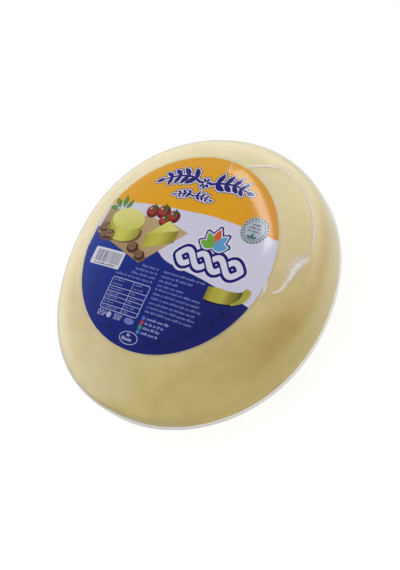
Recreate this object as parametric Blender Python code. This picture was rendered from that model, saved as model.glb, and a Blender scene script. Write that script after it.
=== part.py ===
"""A whole wheel of kashkaval cheese, sealed in clear film, with a round label on its crown.

Run with: blender --background --python part.py

The wheel was pressed by hand into a round form and sagged as it drained: a low bun with a nearly
flat crown, a full shoulder, a belly that bulges just below half height, and a flat foot.
Its outline is a little oval and uneven. Metres, +Z up, the foot on z = 0, and +X runs the way
that the label is read.
"""
import math

import bmesh
import bpy

# The wheel: the sealed form, film included
MEAN_RADIUS = 0.0625
WHEEL_HEIGHT = 0.0440
BELLY_HEIGHT = 0.0200          # where the wheel is widest
CROWN_FLATNESS = 3.4           # higher keeps the crown flat for longer before it falls away
SIDE_FULLNESS = 3.3            # higher makes the shoulder squarer and the side more upright
FOOT_PRESS = 0.0015            # how much of the rounded underside its own weight presses flat

# Uneven hand forming: (waves round the wheel, height of the wave, bearing of a crest in degrees)
WAVES = (
    (2, 0.0014, 81.0),
    (3, 0.0007, 17.0),
    (4, 0.0006, 58.0),
)

# The label
LABEL_RADIUS = 0.0442
LABEL_CENTRE = (0.0012, 0.0032)
LABEL_THICKNESS = 0.0003
GAP = 0.0003                   # between the label's underside and the wheel

# Fineness of the turned meshes
TURN_STEPS = 80
SIDE_STEPS = 14                # rings from the belly to the crown's centre, and again to the foot
LABEL_RINGS = 7

# Colours
FILMED_CHEESE = (0.72, 0.61, 0.36)
PRINTED_PAPER = (0.10, 0.12, 0.38)


def clear_scene():
    for obj in list(bpy.data.objects):
        bpy.data.objects.remove(obj, do_unlink=True)


def outer_radius(bearing):
    """The wheel's radius at its belly, in the direction of a bearing in radians."""
    radius = MEAN_RADIUS
    for count, height, crest in WAVES:
        radius += height * math.cos(count * (bearing - math.radians(crest)))
    return radius


def bulge(share):
    """Height of the rounded shape, 1 at the axis and 0 at the rim, at a share of the radius."""
    return (1.0 - min(share, 1.0) ** CROWN_FLATNESS) ** (1.0 / SIDE_FULLNESS)


def crown_height(x, y):
    """Height of the wheel's upper surface over a point of its plan."""
    share = math.hypot(x, y) / outer_radius(math.atan2(y, x))
    return BELLY_HEIGHT + (WHEEL_HEIGHT - BELLY_HEIGHT) * bulge(share)


def foot_height(share):
    """Height of the underside at a share of the radius, with the foot pressed flat."""
    rounded = BELLY_HEIGHT - (BELLY_HEIGHT + FOOT_PRESS) * bulge(share)
    return max(rounded, 0.0)


def profile_shares():
    """Shares of the radius from the rim to the axis, close together where the side turns."""
    shares = []
    for step in range(SIDE_STEPS + 1):
        angle = math.pi / 2 * step / SIDE_STEPS
        shares.append(math.cos(angle) ** (2.0 / CROWN_FLATNESS) if step < SIDE_STEPS else 0.0)
    return shares


def wheel_profile():
    """Half outline of a round wheel, from the foot's centre by the rim to the crown's centre."""
    shares = profile_shares()
    under = [(share * MEAN_RADIUS, foot_height(share)) for share in reversed(shares)]
    over = []
    for share in shares[1:]:
        height = BELLY_HEIGHT + (WHEEL_HEIGHT - BELLY_HEIGHT) * bulge(share)
        over.append((share * MEAN_RADIUS, height))
    return under + over


def turn(outline, steps):
    """Spin an outline of (radius, height) points, open at the axis, into a closed bmesh."""
    bm = bmesh.new()
    verts = [bm.verts.new((radius, 0.0, height)) for radius, height in outline]
    edges = [bm.edges.new(pair) for pair in zip(verts, verts[1:])]
    bmesh.ops.spin(
        bm,
        geom=verts + edges,
        cent=(0.0, 0.0, 0.0),
        axis=(0.0, 0.0, 1.0),
        angle=2 * math.pi,
        steps=steps,
        use_merge=True,
    )
    bmesh.ops.remove_doubles(bm, verts=bm.verts, dist=1e-6)
    bmesh.ops.recalc_face_normals(bm, faces=bm.faces)
    return bm


def principled(name, colour, roughness):
    material = bpy.data.materials.new(name)
    material.use_nodes = True
    shader = material.node_tree.nodes["Principled BSDF"]
    shader.inputs["Base Color"].default_value = (*colour, 1.0)
    shader.inputs["Roughness"].default_value = roughness
    shader.inputs["Metallic"].default_value = 0.0
    return material


def add_object(name, bm, material):
    mesh = bpy.data.meshes.new(name)
    bm.to_mesh(mesh)
    bm.free()
    mesh.materials.append(material)
    mesh.shade_smooth()
    mesh.set_sharp_from_angle(angle=math.radians(40.0))
    obj = bpy.data.objects.new(name, mesh)
    bpy.context.scene.collection.objects.link(obj)
    return obj


def make_wheel():
    """The cheese and the film drawn tight round it, one sealed form."""
    bm = turn(wheel_profile(), TURN_STEPS)
    for vert in bm.verts:
        swell = outer_radius(math.atan2(vert.co.y, vert.co.x)) / MEAN_RADIUS
        vert.co.x *= swell
        vert.co.y *= swell
    return add_object("wrapped_wheel", bm, principled("filmed_cheese", FILMED_CHEESE, 0.18))


def make_label():
    """A round paper label, bent to lie on the crown."""
    outline = [(LABEL_RADIUS * ring / LABEL_RINGS, 0.0) for ring in range(LABEL_RINGS + 1)]
    outline += [(radius, LABEL_THICKNESS) for radius, _ in reversed(outline)]
    bm = turn(outline, TURN_STEPS)
    for vert in bm.verts:
        vert.co.x += LABEL_CENTRE[0]
        vert.co.y += LABEL_CENTRE[1]
        vert.co.z += crown_height(vert.co.x, vert.co.y) + GAP
    return add_object("label", bm, principled("printed_paper", PRINTED_PAPER, 0.35))


clear_scene()
make_wheel()
make_label()
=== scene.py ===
"""A wheel of kashkaval cheese in clear shrink film, with a round printed label on its crown."""
import math
import random

import bmesh
import bpy
import numpy as np
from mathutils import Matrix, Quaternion, Vector, noise


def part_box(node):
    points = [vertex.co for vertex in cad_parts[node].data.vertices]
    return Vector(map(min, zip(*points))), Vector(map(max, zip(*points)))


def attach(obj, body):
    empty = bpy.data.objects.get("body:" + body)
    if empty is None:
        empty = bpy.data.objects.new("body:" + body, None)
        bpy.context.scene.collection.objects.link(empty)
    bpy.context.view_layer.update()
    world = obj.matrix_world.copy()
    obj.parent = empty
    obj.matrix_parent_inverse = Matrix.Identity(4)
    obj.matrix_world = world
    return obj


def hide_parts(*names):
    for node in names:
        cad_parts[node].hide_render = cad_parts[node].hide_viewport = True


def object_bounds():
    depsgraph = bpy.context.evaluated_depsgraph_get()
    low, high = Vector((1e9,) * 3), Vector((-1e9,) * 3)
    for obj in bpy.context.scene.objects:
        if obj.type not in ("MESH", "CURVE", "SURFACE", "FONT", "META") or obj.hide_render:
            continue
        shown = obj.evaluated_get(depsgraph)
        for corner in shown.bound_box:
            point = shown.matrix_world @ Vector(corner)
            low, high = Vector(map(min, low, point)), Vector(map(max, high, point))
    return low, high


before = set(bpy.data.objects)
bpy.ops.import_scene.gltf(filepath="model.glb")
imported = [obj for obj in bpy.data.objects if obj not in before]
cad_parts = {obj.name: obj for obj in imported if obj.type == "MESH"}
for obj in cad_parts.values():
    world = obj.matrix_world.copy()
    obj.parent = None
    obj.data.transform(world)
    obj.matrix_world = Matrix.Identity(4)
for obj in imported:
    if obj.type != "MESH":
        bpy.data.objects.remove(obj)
cad_low, cad_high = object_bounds()

MM = 0.001

# ---------------------------------------------------------------------------------------------
# The cheese. A wheel of stretched curd that was worked hot and cooled in a round form: its crown
# is nearly flat, its shoulder full and its foot pressed flat. It stands back a little from the
# film below the shoulder, most of all on the left.
WHEEL_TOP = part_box("wrapped_wheel")[1].z
MEAN_RADIUS = 62.5 * MM
BELLY_HEIGHT = 20.0 * MM
CROWN_FLATNESS = 3.4
SIDE_FULLNESS = 3.3
FOOT_PRESS = 1.5 * MM
# Uneven forming: the crests round the wheel, the wave's height and a crest's bearing in degrees
WAVES = ((2, 1.4 * MM, 81.0), (3, 0.7 * MM, 17.0), (4, 0.6 * MM, 58.0))
LABEL_LOW, LABEL_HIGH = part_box("label")
LABEL_RADIUS = (LABEL_HIGH.x - LABEL_LOW.x) / 2
LABEL_CENTRE = (LABEL_LOW + LABEL_HIGH) / 2
CHEESE_GAP = 0.32 * MM          # between the cheese and the film on the crown
CHEESE_DRAW = 0.8 * MM          # how much further it stands back below the shoulder
FOOT_DRAW = 0.5 * MM            # and how much further again below the belly
DRAW_START = 34.0 * MM          # the height at which it starts to stand back
DRAW_REACH = 16.0 * MM          # how far below that it stands back in full
LOOSE_BEARING = math.radians(-130.0)
LOOSE_SWING = 0.38              # how much the standing back changes round the wheel
CHEESE_FOOT = 0.15 * MM
CHEESE_LUMP = 0.12 * MM
LUMP_SIZE = 21.0 * MM
LABEL_BED = (-1.0 * MM, 0.5 * MM)       # from the label's edge: inside it the cheese fills out
OUTLINE_POINTS = 4000           # the outline is worked out this finely, then stepped along
CHEESE_TURNS = 288
CHEESE_STEP = 0.85              # the mesh's step along the outline, in mm
CHEESE_HIDDEN_STEP = 1.6        # and the step under the label and the foot


def outer_radius(bearing):
    radius = MEAN_RADIUS
    for count, height, crest in WAVES:
        radius = radius + height * np.cos(count * (bearing - math.radians(crest)))
    return radius


def bulge(share):
    return (1.0 - np.minimum(share, 1.0) ** CROWN_FLATNESS) ** (1.0 / SIDE_FULLNESS)


def above_belly(share):
    """The height at a share of the way from the belly up to the wheel's top."""
    return BELLY_HEIGHT + (WHEEL_TOP - BELLY_HEIGHT) * share


def crown_height(x, y):
    return above_belly(bulge(np.hypot(x, y) / outer_radius(np.arctan2(y, x))))


def lengths_along(xs, ys):
    """How far along a path each of its points lies."""
    return np.concatenate(([0.0], np.cumsum(np.hypot(np.diff(xs), np.diff(ys)))))


def half_outline(step_at):
    """(radius, height) points from the foot's centre by the belly to the crown's centre."""
    rise = np.linspace(0.0, 1.0, OUTLINE_POINTS)
    angles = np.concatenate((rise[::-1], rise[1:])) * math.pi / 2
    over = np.arange(len(angles)) >= len(rise)
    radii = MEAN_RADIUS * np.cos(angles) ** (2.0 / CROWN_FLATNESS)
    radii[0] = radii[-1] = 0.0
    lift = np.sin(angles) ** (2.0 / SIDE_FULLNESS)
    under_heights = np.maximum(BELLY_HEIGHT - (BELLY_HEIGHT + FOOT_PRESS) * lift, 0.0)
    heights = np.where(over, above_belly(lift), under_heights)
    run = lengths_along(radii, heights)
    stations = [0.0]
    while stations[-1] < run[-1]:
        radius, height = np.interp(stations[-1], run, radii), np.interp(stations[-1], run, heights)
        stations.append(stations[-1] + step_at(radius / MM, height / MM) * MM)
    stations = np.array(stations) * run[-1] / stations[-1]
    return list(zip(np.interp(stations, run, radii), np.interp(stations, run, heights)))


def turned_wheel(name, step_at, steps):
    """The wheel's outer form as a mesh: its half outline spun round, then made uneven."""
    bm = bmesh.new()
    verts = [bm.verts.new((radius, 0.0, height)) for radius, height in half_outline(step_at)]
    edges = [bm.edges.new(pair) for pair in zip(verts, verts[1:])]
    bmesh.ops.spin(bm, geom=verts + edges, cent=(0, 0, 0), axis=(0, 0, 1),
                   angle=2 * math.pi, steps=steps, use_merge=True)
    bmesh.ops.remove_doubles(bm, verts=bm.verts, dist=1e-6)
    bmesh.ops.recalc_face_normals(bm, faces=bm.faces)
    mesh = mesh_from(name, bm)
    mesh.shade_smooth()
    points = read_points(mesh)
    points[:, :2] *= (outer_radius(bearings(points)) / MEAN_RADIUS)[:, None]
    write_points(mesh, points)
    return mesh


def mesh_from(name, bm):
    mesh = bpy.data.meshes.new(name)
    bm.to_mesh(mesh)
    bm.free()
    return mesh


def read_points(mesh):
    points = np.empty(len(mesh.vertices) * 3, np.float32)
    mesh.vertices.foreach_get("co", points)
    return points.reshape(-1, 3).astype(np.float64)


def read_normals(mesh):
    normals = np.empty(len(mesh.vertices) * 3, np.float32)
    mesh.vertex_normals.foreach_get("vector", normals)
    return normals.reshape(-1, 3).astype(np.float64)


def write_points(mesh, points):
    mesh.vertices.foreach_set("co", points.astype(np.float32).ravel())
    mesh.update()


def bearings(points):
    return np.arctan2(points[:, 1], points[:, 0])


def soft_noise(points, size, seed):
    """Smooth noise from -1 to 1 at each point, with lumps about size across."""
    shift = Vector((seed * 7.3, seed * 3.1, seed * 5.7))
    return np.array([noise.noise(Vector(point) / size + shift) for point in points])


def ease(value, low, high):
    share = np.clip((value - low) / (high - low), 0.0, 1.0)
    return share * share * (3.0 - 2.0 * share)


def label_share(points, inner, outer):
    """1 under the label, easing to 0 between two distances from its edge."""
    from_centre = np.hypot(points[:, 0] - LABEL_CENTRE.x, points[:, 1] - LABEL_CENTRE.y)
    over = points[:, 2] > BELLY_HEIGHT
    return (1.0 - ease(from_centre - LABEL_RADIUS, inner, outer)) * over


def link(name, mesh, material):
    obj = bpy.data.objects.new(name, mesh)
    bpy.context.scene.collection.objects.link(obj)
    mesh.materials.append(material)
    return obj


def srgb(red, green, blue):
    """A colour as it is seen, in 0 to 255, made linear for a shader."""
    levels = [value / 255 for value in (red, green, blue)]
    return tuple(v / 12.92 if v <= 0.04045 else ((v + 0.055) / 1.055) ** 2.4 for v in levels)


def new_material(name):
    material = bpy.data.materials.new(name)
    material.use_nodes = True
    tree = material.node_tree
    return material, tree, tree.nodes["Principled BSDF"]


def set_inputs(node, values):
    for name, value in values.items():
        node.inputs[name].default_value = value


def object_place(tree):
    return tree.nodes.new("ShaderNodeTexCoord").outputs["Object"]


def add_noise(tree, scale, detail, roughness=0.5, distortion=0.0):
    grain = tree.nodes.new("ShaderNodeTexNoise")
    set_inputs(grain, {"Scale": scale, "Detail": detail, "Roughness": roughness,
                       "Distortion": distortion})
    tree.links.new(object_place(tree), grain.inputs["Vector"])
    return grain.outputs["Fac"]


def add_ramp(tree, factor, stops):
    """A blend through a few stops: a position, and a colour or a plain level of grey."""
    ramp = tree.nodes.new("ShaderNodeValToRGB")
    ramp.color_ramp.interpolation = "EASE"
    while len(ramp.color_ramp.elements) < len(stops):
        ramp.color_ramp.elements.new(0.5)
    for element, (position, colour) in zip(ramp.color_ramp.elements, stops):
        red, green, blue = colour if isinstance(colour, tuple) else (colour, colour, colour)
        element.position = position
        element.color = (red, green, blue, 1.0)
    tree.links.new(factor, ramp.inputs["Fac"])
    return ramp.outputs["Color"]


def add_blend(tree, kind, amount, first, second):
    mix = tree.nodes.new("ShaderNodeMix")
    mix.data_type = "RGBA"
    mix.blend_type = kind
    if isinstance(amount, float):
        mix.inputs["Factor"].default_value = amount
    else:
        tree.links.new(amount, mix.inputs["Factor"])
    tree.links.new(first, mix.inputs["A"])
    tree.links.new(second, mix.inputs["B"])
    return mix.outputs["Result"]


def add_share(tree, vector, direction, low, high, change="SMOOTHSTEP"):
    """0 to 1 as a vector reaches further along a direction."""
    dot = tree.nodes.new("ShaderNodeVectorMath")
    dot.operation = "DOT_PRODUCT"
    dot.inputs[1].default_value = direction
    tree.links.new(vector, dot.inputs[0])
    spread = tree.nodes.new("ShaderNodeMapRange")
    spread.interpolation_type = change
    set_inputs(spread, {"From Min": low, "From Max": high})
    tree.links.new(dot.outputs["Value"], spread.inputs["Value"])
    return spread.outputs["Result"]


def add_bump(tree, height, strength, distance):
    bump = tree.nodes.new("ShaderNodeBump")
    set_inputs(bump, {"Strength": strength, "Distance": distance})
    tree.links.new(height, bump.inputs["Height"])
    return bump.outputs["Normal"]


# The tones of the curd's soft clouds: darker in front as painted shade, paler at the back as painted
# light, and paler still on the left shoulder as painted light
SHADED_FRONT_CURD = ((0.32, srgb(231, 203, 103)), (0.66, srgb(242, 219, 125)))
LIT_BACK_CURD = ((0.3, srgb(242, 221, 145)), (0.7, srgb(247, 229, 162)))
LIT_SHOULDER_CURD = ((0.3, srgb(250, 229, 167)), (0.7, srgb(254, 236, 185)))
# the olive belt is painted shade: darker along the right side below the shoulder
PAINTED_SHADE_BELT = ((0.1, 1.0), (0.54, srgb(243, 231, 194)), (0.9, 1.0))
MOTTLE = ((0.35, srgb(240, 236, 226)), (0.62, 1.0))
MOTTLE_STRENGTH = 0.35
# Where they lie: a way across the wheel, and how far along it each starts and is there in full
# the back, where the curd turns paler as painted light
BACK = ((-0.76, 0.65, 0.0), -58.0 * MM, 12.0 * MM)
# the left shoulder, where the curd turns paler still as painted light
LEFT_SHOULDER = ((-0.375, -0.927, 1.7), 108.0 * MM, 117.7 * MM)
# the right side and the belt's rise, where that painted shade lies
RIGHT_SIDE = ((0.998, 0.06, 0.0), 46.0 * MM, 58.5 * MM)
BELT_RISE = ((0.0, 0.12, 1.0), 19.0 * MM, 43.0 * MM)


def cheese_material():
    """Yellow curd with soft clouds and a fine mottle, with light and shade painted in: it is paler
    at the back and paler still on the left shoulder as painted light, and an olive belt of painted
    shade runs round the right side below the shoulder."""
    material, tree, shader = new_material("pressed_curd")
    place = object_place(tree)
    clouds = add_noise(tree, 27.0, 2.0, 0.5, 0.9)
    front_in_shade, pale = add_ramp(tree, clouds, SHADED_FRONT_CURD), add_ramp(tree, clouds, LIT_BACK_CURD)
    # painted light and shade: darker in front, paler towards the back
    curd = add_blend(tree, "MIX", add_share(tree, place, *BACK), front_in_shade, pale)
    # painted light: paler on the left shoulder
    milky = add_ramp(tree, clouds, LIT_SHOULDER_CURD)
    curd = add_blend(tree, "MIX", add_share(tree, place, *LEFT_SHOULDER), curd, milky)
    # painted shade: the olive belt along the right side
    belt = add_ramp(tree, add_share(tree, place, *BELT_RISE, "LINEAR"), PAINTED_SHADE_BELT)
    curd = add_blend(tree, "MULTIPLY", add_share(tree, place, *RIGHT_SIDE), curd, belt)
    mottle = add_ramp(tree, add_noise(tree, 170.0, 5.0, 0.6), MOTTLE)
    curd = add_blend(tree, "MULTIPLY", MOTTLE_STRENGTH, curd, mottle)
    tree.links.new(curd, shader.inputs["Base Color"])
    set_inputs(shader, {"Roughness": 0.55, "IOR": 1.85, "Specular IOR Level": 1.0,
                        "Subsurface Weight": 0.3, "Subsurface Radius": (1.0, 0.62, 0.22),
                        "Subsurface Scale": 4.0 * MM})
    grain = add_bump(tree, add_noise(tree, 520.0, 4.0, 0.6), 0.12, 0.2 * MM)
    tree.links.new(grain, shader.inputs["Normal"])
    return material


def cheese_step(radius, height):
    """The mesh's step in mm: wider where the label or the foot hides the cheese."""
    hidden = height > 40.0 and radius < 40.0 or height < 0.1
    return CHEESE_HIDDEN_STEP if hidden else CHEESE_STEP


def make_cheese():
    mesh = turned_wheel("cheese_body", cheese_step, CHEESE_TURNS)
    points, normals = read_points(mesh), read_normals(mesh)
    loose = 1.0 - LOOSE_SWING + LOOSE_SWING * np.cos(bearings(points) - LOOSE_BEARING)
    low = ease(DRAW_START - points[:, 2], 0.0, DRAW_REACH)
    very_low = ease(BELLY_HEIGHT - points[:, 2], 0.0, DRAW_REACH)
    gap = CHEESE_GAP + CHEESE_DRAW * loose * low + FOOT_DRAW * very_low
    lumps = CHEESE_LUMP * soft_noise(points, LUMP_SIZE, seed=1)
    move = (lumps - gap) * (1.0 - label_share(points, *LABEL_BED))
    points += normals * move[:, None]
    points[:, 2] = np.maximum(points[:, 2], CHEESE_FOOT)
    write_points(mesh, points)
    return link("cheese_body", mesh, cheese_material())


cheese = make_cheese()
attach(cheese, "root")
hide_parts("wrapped_wheel")

# ---------------------------------------------------------------------------------------------
# The label's paper. A round coated paper, die cut, laid on the crown under the film and bent
# to it. It is white, with a faint lilac cast that is painted shade under a bluish light, and is
# left bare across its middle.
PAPER_RISE = 0.05 * MM          # the paper's underside over the wheel's own surface
PAPER_THICK = 0.08 * MM
PAPER_EDGES = 160
# white tinted lilac: painted shade under a bluish light
PAPER_TONES = ((0.3, srgb(226, 222, 243)), (0.7, srgb(230, 226, 248)))
BEND_STEP = 2.0                 # in mm: sheets are cut this often, so that they can bend
BEND_SHIFT = 0.013              # in mm: keeps the cuts off the print's own corners


def cut_for_bending(plate):
    """Cuts a flat sheet, drawn in mm about the label's centre, along a square grid of lines."""
    reach = int(LABEL_RADIUS / MM / BEND_STEP) + 1
    for step in range(-reach, reach + 1):
        for normal in (Vector((1, 0, 0)), Vector((0, 1, 0))):
            bmesh.ops.bisect_plane(plate, geom=plate.verts[:] + plate.edges[:] + plate.faces[:],
                                   plane_co=normal * (step * BEND_STEP + BEND_SHIFT),
                                   plane_no=normal)


def lay_on_crown(name, plate, rise, thickness, material):
    """Gives a flat sheet a thickness and bends it over the wheel's crown."""
    bmesh.ops.triangulate(plate, faces=plate.faces, ngon_method="EAR_CLIP")
    cut_for_bending(plate)
    grown = bmesh.ops.extrude_face_region(plate, geom=plate.faces[:], use_keep_orig=True)["geom"]
    top = [item for item in grown if isinstance(item, bmesh.types.BMVert)]
    bmesh.ops.translate(plate, verts=top, vec=(0, 0, thickness / MM))
    bmesh.ops.triangulate(plate, faces=plate.faces)
    bmesh.ops.recalc_face_normals(plate, faces=plate.faces)
    mesh = mesh_from(name, plate)
    points = read_points(mesh) * MM
    points[:, 0] += LABEL_CENTRE.x
    points[:, 1] += LABEL_CENTRE.y
    points[:, 2] += rise + crown_height(points[:, 0], points[:, 1])
    write_points(mesh, points)
    return link(name, mesh, material)


def paper_material():
    material, tree, shader = new_material("coated_paper")
    fibre = add_noise(tree, 900.0, 3.0)
    tree.links.new(add_ramp(tree, fibre, PAPER_TONES), shader.inputs["Base Color"])
    set_inputs(shader, {"Roughness": 0.5, "Specular IOR Level": 0.3})
    return material


def make_paper():
    plate = bmesh.new()
    bmesh.ops.create_circle(plate, cap_ends=True, segments=PAPER_EDGES, radius=LABEL_RADIUS / MM)
    return lay_on_crown("label_paper", plate, PAPER_RISE, PAPER_THICK, paper_material())


def finish_label_piece(piece):
    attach(piece, "root")
    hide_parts("label")


finish_label_piece(make_paper())

# ---------------------------------------------------------------------------------------------
# The label's colour fields. Flat inks printed edge to edge: gold over the top third, navy blue
# over the lower half, and a strip of bare paper between them. Each ink is a thin sheet, drawn
# in mm about the label's centre, and a later ink lies on an earlier one.
INK_THICK = 0.012 * MM
INK_STEP = 0.018 * MM
EDGE = LABEL_RADIUS / MM - 0.05
FIELD_COLUMNS = 121
LEAST_COLUMN = 0.02             # a field ends where it is lower than this
GOLD_EDGE = ((-44.0, 12.2), (-33.0, 15.2), (-16.0, 16.9), (0.0, 17.5), (14.0, 17.7), (44.0, 15.4))
NAVY_EDGE = ((-44.2, 2.0), (-25.0, 1.0), (-9.0, -1.6), (0.0, -5.6), (20.0, -8.6), (44.2, -13.6))
# the navy is painted light and shade: darker in front, lighter towards the back
NAVY_PAINTED_SHADING = ((-0.85, 0.5), -38.0, 30.0)      # the way its tone runs, from and to, in mm
SPECKS = ((0.35, 0.94), (0.65, 1.0))


def curve_through(places, per_span=8):
    """A smooth path through a few places."""
    ends = [places[0], *places, places[-1]]
    path = []
    for before, start, end, after in zip(ends, ends[1:], ends[2:], ends[3:]):
        for step in range(per_span):
            t = step / per_span
            path.append(tuple(0.5 * (2 * b + (c - a) * t + (2 * a - 5 * b + 4 * c - d) * t * t
                                     + (3 * b - a - 3 * c + d) * t ** 3)
                              for a, b, c, d in zip(before, start, end, after)))
    return path + [tuple(places[-1])]


def height_on(path, x):
    return float(np.interp(x, [place[0] for place in path], [place[1] for place in path]))


def rim(x):
    return math.sqrt(max(EDGE * EDGE - x * x, 0.0))


def add_strip(plate, pairs, lift=0.0):
    """Fills a band, given as pairs of points across it."""
    rungs = [[plate.verts.new((x, y, lift)) for x, y in pair] for pair in pairs]
    for (low, high), (next_low, next_high) in zip(rungs, rungs[1:]):
        plate.faces.new((low, next_low, next_high, high))


def add_field(plate, path, up):
    """Fills the label from a curve to its upper or its lower rim."""
    columns = []
    for x in np.linspace(-EDGE, EDGE, FIELD_COLUMNS):
        low, high = (height_on(path, x), rim(x)) if up else (-rim(x), height_on(path, x))
        if high - low > LEAST_COLUMN and abs(height_on(path, x)) <= rim(x):
            columns.append(((x, low), (x, high)))
    add_strip(plate, columns)


def graded_ink(name, along, low, high, *tones):
    """An ink whose tone runs through a few colours, from one reach in mm along a direction over
    the wheel to another."""
    material, tree, shader = new_material(name)
    length = math.hypot(*along)
    way = (along[0] / length, along[1] / length, 0.0)
    share = add_share(tree, object_place(tree), way, low * MM, high * MM, "LINEAR")
    stops = [(index / (len(tones) - 1), srgb(*tone)) for index, tone in enumerate(tones)]
    specks = add_ramp(tree, add_noise(tree, 1500.0, 2.0), SPECKS)
    tone = add_blend(tree, "MULTIPLY", 1.0, add_ramp(tree, share, stops), specks)
    tree.links.new(tone, shader.inputs["Base Color"])
    set_inputs(shader, {"Roughness": 0.45, "Specular IOR Level": 0.1})
    return material


def plain_ink(name, *tone):
    """An ink of one tone, a little darker towards the label's foot."""
    darker_tone = tuple(0.96 * level for level in tone)
    return graded_ink(name, (0.0, 1.0), -50.0, 50.0, darker_tone, tone)


def print_sheet(name, plate, layer, material):
    rise = PAPER_RISE + PAPER_THICK + INK_STEP * (layer - 0.5)
    finish_label_piece(lay_on_crown(name, plate, rise, INK_THICK, material))


gold_field = bmesh.new()
add_field(gold_field, curve_through(GOLD_EDGE), True)
# the gold darkens towards the label's right edge: painted shade where the label curves down
print_sheet("print_gold_field", gold_field, 1,
            graded_ink("gold_ink", (1.0, 0.2), 18.0, 44.0, (250, 182, 25), (243, 163, 20)))
navy_field = bmesh.new()
add_field(navy_field, curve_through(NAVY_EDGE), False)
print_sheet("print_navy_field", navy_field, 1,
            graded_ink("navy_ink", *NAVY_PAINTED_SHADING, (27, 34, 118), (25, 43, 140), (24, 58, 164)))

# ---------------------------------------------------------------------------------------------
# The heading's place on the gold field: a garland of leaves either side of a small flower, over
# a shorter sprig, in navy with a white border and a thin navy line round that.
NAVY_INK = plain_ink("dark_navy_ink", 30, 16, 132)
WHITE_INK = plain_ink("white_ink", 240, 238, 255)
LONG_ROW = (((-3.8, 31.2), (-9.0, 32.9), (-15.5, 31.8), (-20.9, 29.2)),
            ((1.8, 31.2), (7.0, 32.7), (13.5, 33.1), (18.9, 31.8)))
LONG_ROW_LEAVES = (3.9, 6.2, 0.62)      # their spacing and length, and the stem's half width
SHORT_ROW = (((-3.6, 24.4), (-7.0, 24.9), (-11.6, 23.6)), ((-3.4, 24.4), (0.0, 25.0), (4.8, 24.2)))
SHORT_ROW_LEAVES = (2.3, 3.0, 0.36)
FLOWER = (-1.0, 31.0, 0.5)              # its middle and the radius that its petals start at
HEADING_LINE, HEADING_BORDER = 0.8, 0.5         # how far each reaches beyond the leaves
STROKE_LIFT = 0.002             # in mm: strokes that cross lie this far apart, within one ink
THIN_END = 0.05                 # a stroke that ends thinner than this has no round end
LEAF_PARTS = 8


def arc(x, y, half_x, half_y, start, end, count):
    """Points along an oval between two angles in degrees."""
    return [(x + half_x * math.cos(angle), y + half_y * math.sin(angle))
            for angle in np.radians(np.linspace(start, end, count))]


def ring(x, y, radius, count, start=0.0):
    """Places evenly round a circle, each with its angle."""
    return [(x + radius * math.cos(angle), y + radius * math.sin(angle), angle)
            for angle in np.linspace(start, start + 2 * math.pi, count, endpoint=False)]


def add_outline(plate, points, lift=0.0):
    plate.faces.new([plate.verts.new((x, y, lift)) for x, y in points])


def add_stroke(plate, path, halves, grow=0.0, lift=0.0):
    """A flat ribbon along a path, with its half width given at each point, and round ends."""
    pairs, runs = [], []
    for index, (x, y) in enumerate(path):
        before, after = path[max(index - 1, 0)], path[min(index + 1, len(path) - 1)]
        run = Vector((after[0] - before[0], after[1] - before[1])).normalized()
        half = halves[index] + grow
        runs.append(run)
        pairs.append(((x + run.y * half, y - run.x * half), (x - run.y * half, y + run.x * half)))
    add_strip(plate, pairs, lift)
    for end, outward in ((0, -1), (-1, 1)):
        half = halves[end] + grow
        if half > THIN_END:
            heading = math.degrees(math.atan2(runs[end].y * outward, runs[end].x * outward))
            add_outline(plate, arc(*path[end], half, half, heading - 90, heading + 90, 9), lift)


def leaf(x, y, heading, length, width, bend=0.25):
    """A leaf as a stroke: its midrib and its half widths."""
    path, halves = [], []
    for step in range(LEAF_PARTS + 1):
        share = step / LEAF_PARTS
        angle = math.radians(heading) + bend * (share - 0.5)
        path.append((x + length * share * math.cos(angle), y + length * share * math.sin(angle)))
        halves.append(width / 2 * math.sin(math.pi * min(share * 1.02, 1.0)) ** 0.8)
    return path, halves


def tapered(path, start, end):
    return path, list(np.linspace(start, end, len(path)))


def garland(places, pitch, size, weight):
    """A stem through a few places with pairs of leaves along it and one at its tip."""
    stem = curve_through(places, 12)
    run = lengths_along(*np.array(stem).T)
    strokes = [tapered(stem, weight, weight * 0.5)]
    for reach in np.arange(pitch * 0.7, run[-1], pitch):
        index = int(np.searchsorted(run, reach))
        (x, y), (next_x, next_y) = stem[index - 1], stem[index]
        heading = math.degrees(math.atan2(next_y - y, next_x - x))
        shrink = 1.0 - 0.35 * reach / run[-1]
        for side in (48, -48):
            strokes.append(leaf(x, y, heading + side, size * shrink, size * shrink * 0.44))
    strokes.append(leaf(*stem[-1], heading, size * 0.7, size * 0.3))
    return strokes


def print_strokes(name, strokes, layer, material, grow=0.0):
    plate = bmesh.new()
    for index, (path, halves) in enumerate(strokes):
        add_stroke(plate, path, halves, grow, STROKE_LIFT * (index % 4))
    print_sheet(name, plate, layer, material)


heading = []
for places in LONG_ROW:
    heading += garland(places, *LONG_ROW_LEAVES)
heading += [leaf(x, y, math.degrees(angle), 2.5, 1.25) for x, y, angle in ring(*FLOWER, 7, 0.3)]
for places in SHORT_ROW:
    heading += garland(places, *SHORT_ROW_LEAVES)
print_strokes("print_heading_line", heading, 2, NAVY_INK, HEADING_LINE)
print_strokes("print_heading_border", heading, 3, WHITE_INK, HEADING_BORDER)
print_strokes("print_heading_garland", heading, 4, NAVY_INK)

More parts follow.
